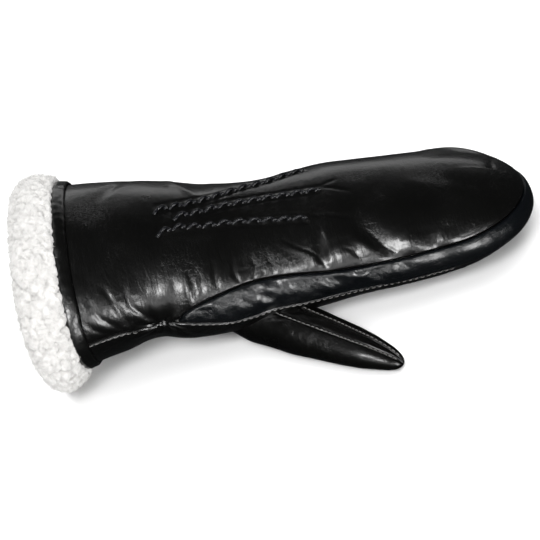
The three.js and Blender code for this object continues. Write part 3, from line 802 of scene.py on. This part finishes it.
def ring_places(profile, major, minor):
    """Points and normals round the cuff that follow a closed profile of (x, out) places."""
    loop = np.vstack([profile[-1:], profile, profile[:2]])
    closed = smooth_line(loop, 1 + np.linspace(0, len(profile), 400))
    length = travelled(closed)
    at = np.linspace(0, length[-1], minor, endpoint=False)
    x, out = (np.interp(at, length, closed[:, k])[None, :] for k in (0, 1))
    x, out, phi = np.broadcast_arrays(x, out, np.linspace(0, tau, major, endpoint=False)[:, None])
    low = np.exp(-((phi - LOW_SIDE) / 0.6) ** 2) * np.clip(-x / 12, 0, 1)  # it hangs out there
    x, out = x * (1 - 0.12 * low), out + 3.0 * low
    side, up = np.sin(phi), np.cos(phi)
    half, tall = half_width(x, side), np.where(up > 0, rise(x), drop(x))
    p = np.stack([x, (half + out) * side, middle(x) + (tall + out) * up], -1)
    along, over = (np.roll(p, -1, axis) - np.roll(p, 1, axis) for axis in (0, 1))
    normal = unit(np.cross(over, along))
    outward = (normal[..., 0] * (x - closed[:, 0].mean())).sum() > 0
    return p, normal if outward else -normal


def ring(name, profile, major, minor, height):
    p, normal = ring_places(profile, major, minor)
    p = p + normal * height(p, normal)[..., None]
    p = np.pad(p, ((0, 1), (0, 1), (0, 0)), mode="wrap")  # closed in both ways
    piece = sheet_of(name, laid(p))
    in_edit_mode(weld, lambda: bpy.ops.mesh.normals_make_consistent(inside=False))
    return piece

# %% Cuff band
BINDING = np.array([(6, 0.3), (6.1, 0.9), (5.4, 1.6), (4, 1.9), (1.5, 2.0), (-0.6, 1.5),
                    (-1.8, 0.6), (-2, -0.2), (-1.5, -1.2), (-0.4, -1.2), (-0.3, 0.3)])
binding = ring("cuff_band", BINDING, 480, 30, lambda p, n: 0.12 * pucker(p) + 0.15 * sag(p))
finish_piece(binding, back_leather, "leather", "cuff_binding")

# %% [markdown]
# ## Fleece collar
# Curly fleece is a mass of small round tufts with dark gaps between them. Noise gives hills that
# are too soft. Here tufts are scattered a set distance apart, and each point of the collar rises as
# a small dome about the nearest one, in two sizes. The search uses a tree, which keeps it quick.

# %% Fleece tufts
from mathutils.kdtree import KDTree

TUFT_SPACING, SMALL_SPACING = 4.6, 2.2  # mm
COLLAR = np.array([(6, -2.8), (-0.6, -1.0), (-1.2, 3.0), (-4.4, 5.6), (-10, 7.6), (-16, 7.2),
                   (-21.5, 4.2), (-24, -0.8), (-23.2, -6), (-18.5, -9.6), (-9, -10.6), (6, -8.2)])


def tuft_field(points, spacing, seed):
    """Distance in mm from each point to the middle of the nearest tuft, where tufts lie about
    spacing apart on the points' own surface."""
    rng = np.random.default_rng(seed)
    kept, cells = [], {}
    for k in rng.permutation(len(points)):
        p = points[k]
        cell = tuple((p // spacing).astype(int))
        close = [q for dx in (-1, 0, 1) for dy in (-1, 0, 1) for dz in (-1, 0, 1)
                 for q in cells.get((cell[0] + dx, cell[1] + dy, cell[2] + dz), ())]
        if all(((q - p) ** 2).sum() > spacing ** 2 for q in close):
            cells.setdefault(cell, []).append(p)
            kept.append(p)
    tree = KDTree(len(kept))
    for k, q in enumerate(kept):
        tree.insert(q, k)
    tree.balance()
    return np.array([tree.find(q)[2] for q in points]), len(kept)


def pile(p, normal):
    """Height of the tufts at places of the collar, in mm."""
    shape = p.shape[:-1]
    wander = np.stack([waves(80 + k, 6)(p) for k in range(3)], -1) * 0.7
    flat = (p + wander).reshape(-1, 3)
    big, count = tuft_field(flat, TUFT_SPACING, 1)
    small, _ = tuft_field(flat, SMALL_SPACING, 2)
    print("tufts of the collar:", count)
    shown = np.clip((0.6 - p[..., 0]) / 2.2, 0.1, 1)
    domes = sum(tall * np.sqrt(np.clip(1 - (away / wide) ** 2, 0, 1))
                for tall, away, wide in ((2.3, big, 3.6), (0.8, small, 1.7)))
    return (domes.reshape(shape) - 1.6) * shown


collar = ring("curly_collar", COLLAR, 700, 132, pile)

# %% [markdown]
# ## Fleece finish
# Wool scatters light and has almost no shine. The shader is rough with some sheen for the fine
# hairs, its cream colour varies a little, and a twisted noise bump gives the curl of single fibres.

# %% Fleece material
SHADED_WOOL, PALE_WOOL = (0.438, 0.431, 0.419), (0.534, 0.525, 0.512)


def fleece_material():
    material, shader = new_material("curly_fleece", Roughness=0.95, Sheen_Weight=0.5,
                                    Sheen_Roughness=0.6, Specular_IOR_Level=0.15)
    place = own_place(shader)
    tone = texture(place, "Noise", Scale=160, Detail=6)["Fac"]
    two_tones(tone, shader, SHADED_WOOL, PALE_WOOL, span=(0.3, 0.7))
    curl = texture(place, "Noise", Scale=900, Detail=4, Distortion=1.5)["Fac"]
    link(bumped(curl, 0.9, 0.0008), shader.inputs["Normal"])
    return material


fleece = fleece_material()
finish_piece(collar, fleece, "fleece", "fleece_collar")

# %% [markdown]
# ## Lining of the hand
# The lining shows only through the cuff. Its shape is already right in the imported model, in two
# halves, so copies of them are joined, welded by a voxel remesh and given the tufts of the collar.
# Where the back folds in deeply, the lining sinks with it.

# %% Lining of the hand
VOXEL = 1.7 * MM
deselect()
for name in ("lining_back", "lining_palm"):
    bpy.data.objects[name].select_set(True)
bpy.context.view_layer.objects.active = bpy.data.objects["lining_back"]
bpy.ops.object.duplicate()
bpy.context.view_layer.objects.active = bpy.context.selected_objects[0]
bpy.ops.object.join()
lining = bpy.context.object
lining.name = lining.data.name = "fleece_sleeve"
remesh = lining.modifiers.new("remesh", "REMESH")
remesh.mode, remesh.voxel_size = "VOXEL", VOXEL
bpy.ops.object.modifier_apply(modifier="remesh")

# %% Tufts of the lining
co, no = corners_of(lining)
tuft, count = tuft_field(co / MM, TUFT_SPACING, 3)
print("tufts of the lining:", count)
co = co - no * ((0.4 + np.clip(tuft / 3.2, 0, 1.2) ** 2 * 1.2) * MM)[:, None]
x, side, _ = section_place(co)
out = np.stack([0 * x, np.sin(np.radians(side)), np.cos(np.radians(side))], -1)
sunk = np.clip(folds(x, side), 0, 3) * (np.abs(side) < 95)  # mm, with the back over it
co = co - out * (sunk * MM)[:, None]
lining.data.vertices.foreach_set("co", co.reshape(-1))
lining.data.update()
bpy.ops.object.shade_smooth()
finish_piece(lining, fleece, "fleece", "lining_back", "lining_palm")

# %% [markdown]
# ## Lining of the thumb
# This is a smaller tube about the thumb's own middle line, open toward the palm. A copy of the
# packed lining, as for the hand, would be too thick for the slim tip that the leather has here.

# %% Lining of the thumb
UNDER_LEATHER, FLEECE = 2.3, 2.5 * MM  # the first in mm of the thumb's frame


def thumb_lining():
    """A tufted tube just inside the thumb's leather, open toward the palm."""
    at = np.linspace(0.6, 4.8, 170)  # from inside the root almost to the tip
    centre, aside, up, wide, high = thumb_frame(at)
    wide, high = np.maximum(wide - UNDER_LEATHER, 0.4), np.maximum(high - UNDER_LEATHER, 0.4)
    p, normal = tube(centre, aside, up, wide, high, np.linspace(0, tau, 110))
    tuft, _ = tuft_field(p.reshape(-1, 3), 4.2, 4)
    dent = np.clip(tuft.reshape(len(at), -1) / 3, 0, 1.2) ** 2
    p = p - normal * (np.minimum(1, wide / 5)[:, None] * dent * 0.9)[..., None]
    p[..., 2] = np.maximum(p[..., 2], 1.6)  # over the leather that lies on the table
    sleeve = sheet_of("thumb_fleece", placed(p), normal)
    in_edit_mode(weld)
    trim_inside_hand(sleeve, 0.86)
    return thicken(sleeve, FLEECE)


finish_piece(thumb_lining(), fleece, "fleece", "lining_thumb")

# %% [markdown]
# ## Loose curls
# Single fibres stand off the tufts and soften the collar's outline. A particle system would need
# baking and gives hairs without thickness. So each curl is written out as a small bent tube with a
# triangle for its section, all in one mesh, with seeds that never change.

# %% Loose curls
FIBRES, RINGS = 7400, 5
FIBRE = 0.13 * MM  # half the thickness of a fibre at its root


def curl_corners():
    """Bent fibres that stand off the collar, by fibre, ring, corner and xyz."""
    co, no = corners_of(collar)
    rng = np.random.default_rng(9)
    outside = np.where(co[:, 0] < (SHIFT.x - 0.9) * MM)[0]
    pick = rng.choice(outside, FIBRES)
    root, up = co[pick] - no[pick] * 0.2 * MM, no[pick]
    side = unit(np.cross(up, rng.normal(size=(FIBRES, 3))))
    radius, turn, lean = (rng.uniform(low, high, FIBRES)[:, None]
                          for low, high in ((0.45, 1.1), (1.6, 4.2), (0.1, 0.9)))
    radius, third = radius * MM, np.cross(up, side)
    rings = []
    for k in range(RINGS):
        a = turn * k / (RINGS - 1)
        centre = root + up * (radius * np.sin(a) * 1.2) + side * (radius * (1 - np.cos(a))) \
            + third * (radius * lean * a * 0.5)
        flat = np.cross(up * np.cos(a) + side * np.sin(a), third)
        thick = FIBRE * (1 - 0.6 * k / (RINGS - 1))
        rings.append(np.stack([centre + (flat * cos(q) + third * sin(q)) * thick
                               for q in (0, tau / 3, 2 * tau / 3)], 1))
    corners = np.stack(rings, 1)
    corners[..., 2] = np.maximum(corners[..., 2], 0)  # nothing goes through the table
    return corners

# %% Faces of the curls


def curl_faces():
    first = 3 * RINGS * np.arange(FIBRES)[:, None]
    last = 3 * RINGS - 1
    sides = [first + (a + 3, b + 3, b, a) for k in range(0, last - 2, 3)
             for a, b in ((k, k + 1), (k + 1, k + 2), (k + 2, k))]
    ends = [first + (0, 1, 2), first + (last, last - 1, last - 2)]
    return np.concatenate(sides).tolist() + np.concatenate(ends).tolist()


made = bpy.data.meshes.new("loose_curls")
made.from_pydata(curl_corners().reshape(-1, 3).tolist(), [], curl_faces())
made.update()
curls = bpy.data.objects.new("loose_curls", made)
bpy.context.collection.objects.link(curls)
finish_piece(curls, fleece, "fleece")

# %% [markdown]
# ## Hand stitching
# The three lines on the back are sewn by hand with a thick twisted thread over a pinched fold of
# leather. Each stitch lies slanted over the fold. They are drawn as curves with a round section,
# one spline for each stitch, which is how thread lies.

# %% Thread


def thread_material(name, colour, roughness):
    material, shader = new_material(name, Roughness=roughness)
    # One wave gives the twist's relief and its colour: darker in the grooves and lighter on the
    # crowns, which is painted shade and highlight of the plies.
    twist_relief_and_shade = texture(own_place(shader), "Wave", Scale=900, Distortion=2)["Fac"]
    two_tones(twist_relief_and_shade, shader, [c * 0.5 for c in colour], [c * 1.5 for c in colour])
    link(bumped(twist_relief_and_shade, 0.5, 0.0002), shader.inputs["Normal"])
    return material


thread = thread_material("black_thread", (0.007, 0.0073, 0.0085), 0.16)
# The seam thread is black. Its mid grey colour is a painted glint, so that the stitches read.
painted_glint_thread = thread_material("painted_glint_thread", (0.13, 0.127, 0.123), 0.4)

# %% Curves on the leather


def on_hand(x, side, lift=0.0):
    """Points of the finished back in the scene, lift mm over the leather."""
    x, side = np.broadcast_arrays(np.asarray(x, float), np.asarray(side, float))
    dy = np.where(side < 0, -1.0, 1.0)
    p, normal = skin(x, 0 * x, dy, np.radians(np.abs(side)))
    no_seam = np.full(x.shape, 1e3)
    height = details(p, x, side, no_seam, 0.12) + ridges(x, side) - folds(x, side) + lift
    return laid(p + normal * height[..., None])


def stitches(name, splines, radius, material, slot, *nodes):
    """Curves with a round section through lists of points, made into one mesh."""
    deselect()
    bpy.ops.curve.primitive_nurbs_path_add()
    drawn = bpy.context.object
    drawn.name = drawn.data.name = name
    drawn.data.splines.clear()
    for places in splines:
        spline = drawn.data.splines.new("NURBS")
        spline.points.add(len(places) - 1)
        for point, place in zip(spline.points, places):
            point.co = (*place, 1)
        spline.use_endpoint_u, spline.order_u, spline.resolution_u = True, 3, 4
    drawn.data.bevel_depth, drawn.data.bevel_resolution = radius * MM, 2
    drawn.data.use_fill_caps = True
    bpy.ops.object.convert(target="MESH")
    drawn = bpy.context.object
    bpy.ops.object.shade_smooth()
    finish_piece(drawn, material, slot, *nodes)

# %% Hand stitches
# Threads of one stitch: places along the line, beside it and over the leather, in mm.
BAR = ((-3.6, -0.9, -0.5), (-2.9, -0.7, 0.4), (-0.9, 0.0, 0.8), (1.0, 0.8, 0.6), (1.8, 0.8, -0.5))
KNOT = ((1.4, -0.5, -0.5), (2.0, -0.4, 0.6), (2.8, -0.2, 0.6), (3.4, -0.1, -0.5))
TAIL = ((-5.2, -2.2, -0.5), (-4.2, -1.7, 0.3), (-2.9, -0.8, 0.5), (-1.6, 0.2, 0.0))
THREAD, FINE_THREAD = 0.95, 0.24  # mm, half their thickness


def point_stitches(name):
    line = np.array(POINT_TURNS[name])
    steps = travelled(line * (1, SIDE))
    count = round(steps[-1] / STITCH)
    splines = []
    for k in range(count):
        at = (k + 0.5) * steps[-1] / count
        x, side = np.interp(at, steps, line[:, 0]), np.interp(at, steps, line[:, 1])
        ahead = unit(np.array([np.interp(at + 1, steps, line[:, 0]) - x,
                               (np.interp(at + 1, steps, line[:, 1]) - side) * SIDE]))
        beside = np.array([-ahead[1], ahead[0]])
        for bar in [BAR, KNOT] + [TAIL] * (k == 0):
            splines.append([on_hand(x + a * ahead[0] + b * beside[0],
                                    side + (a * ahead[1] + b * beside[1]) / SIDE, lift)
                            for a, b, lift in bar])
    stitches(name + "_stitches", splines, THREAD, thread, "thread", name)


for name in POINT_LINES:
    point_stitches(name)

# %% [markdown]
# ## Seam stitches
# The near lower seam and the thumb's two upper seams are sewn from outside with a fine black
# thread, in short even stitches. Its glints are painted in: the thread is coloured mid grey. They
# are short curves too, each one dipping into the leather at both ends, which leaves the small gaps
# that make a row of stitches readable.

# %% Seam stitches
ENDS = np.array([-0.5, 0, 0.5])  # the ends and the middle of a stitch


def seam_run(first, last, offset, pitch=3.3, length=1.8):
    """Small stitches beside the near lower seam, offset degrees under it."""
    spots = np.arange(first, last, pitch)[:, None] + ENDS * length
    p, normal = skin(spots, 0 * spots, 0 * spots - 1, np.radians(near_lower(spots) + offset))
    return list(laid(p + normal * np.array([-0.5, 0.05, -0.5])[:, None]))


def thumb_run(phi, pitch=0.12, length=0.07):
    """Small stitches along a seam of the thumb, at an angle round it. Lengths are in its rows."""
    splines = []
    for at in np.arange(1.2, 4.85, pitch):
        p, out = tube(*thumb_frame(at + ENDS * length), np.array([phi]))
        splines.append(placed(p[:, 0] + out[:, 0] * np.array([-0.5, 0.08, -0.5])[:, None]))
    return splines


near_stitches = seam_run(7, 32, 1.6) + seam_run(60, 200, 1.7)
near_stitches += thumb_run(radians(18.5)) + thumb_run(radians(-22.5))
# These stitches are coloured mid grey: a painted glint on a black thread.
stitches("seam_stitches", near_stitches, FINE_THREAD, painted_glint_thread, "thread")

# %% [markdown]
# ## Floor
# The photograph is cut out on white, so the floor is plain and pale. Black leather would mirror it
# along every lower edge, so it is hidden from mirror rays.

# %% Floor
deselect()
bpy.ops.mesh.primitive_plane_add(size=8, location=(0, 0, -0.0002))
floor = bpy.context.object
floor.name = "floor"
pale, _ = new_material("pale_floor", Base_Color=(0.9, 0.9, 0.9, 1), Roughness=0.8)
floor.data.materials.append(pale)
floor.visible_glossy = False

# %% [markdown]
# ## Light
# Black leather shows only what it mirrors. Its highlights lie on faces that tip toward the viewer,
# so three soft boxes of growing size hang in front, one about the other, which fades their edges.
# Low ones light the strip and the cuff, a small high one makes glints on the thread, and one behind
# draws the far edge. A large one overhead lights the fleece and the floor and isn't mirrored.

# %% Light


def softbox(name, place, aim, width, height, power, glossy=True):
    data = bpy.data.lights.new(name, "AREA")
    data.shape, data.size, data.size_y, data.energy = "RECTANGLE", width, height, power
    light = bpy.data.objects.new(name, data)
    light.location = place
    light.rotation_euler = (Vector(aim) - Vector(place)).to_track_quat("-Z", "Y").to_euler()
    light.visible_glossy = glossy
    bpy.context.collection.objects.link(light)


softbox("overhead", (0, 0.3, 1.7), (0, 0, 0), 2.4, 2.4, 44, glossy=False)
softbox("front", (-0.22, -1.1, 1.25), (0, 0, 0.03), 0.5, 0.36, 12)
softbox("front middle", (-0.25, -1.12, 1.22), (0, 0, 0.03), 0.75, 0.56, 9)
softbox("front wide", (-0.3, -1.15, 1.2), (0, 0, 0.03), 1.1, 0.85, 5)
softbox("front low", (-0.1, -1.5, 0.62), (0, 0, 0.05), 1.1, 0.42, 2.2)
softbox("left high", (-0.8, 0.4, 1.45), (0, -0.05, 0.03), 0.4, 0.3, 3.5)
softbox("right low", (0.85, -1.3, 0.45), (0, 0, 0.03), 0.4, 0.8, 17)
softbox("back", (-0.3, 1.3, 0.20), (0, 0, 0.05), 2.2, 0.34, 2.3)
world = bpy.data.worlds.new("studio")
world.use_nodes = True
put(world.node_tree.nodes["Background"], Color=(0.9, 0.95, 1, 1), Strength=0.018)
bpy.context.scene.world = world
bpy.context.scene.view_settings.view_transform = "Standard"
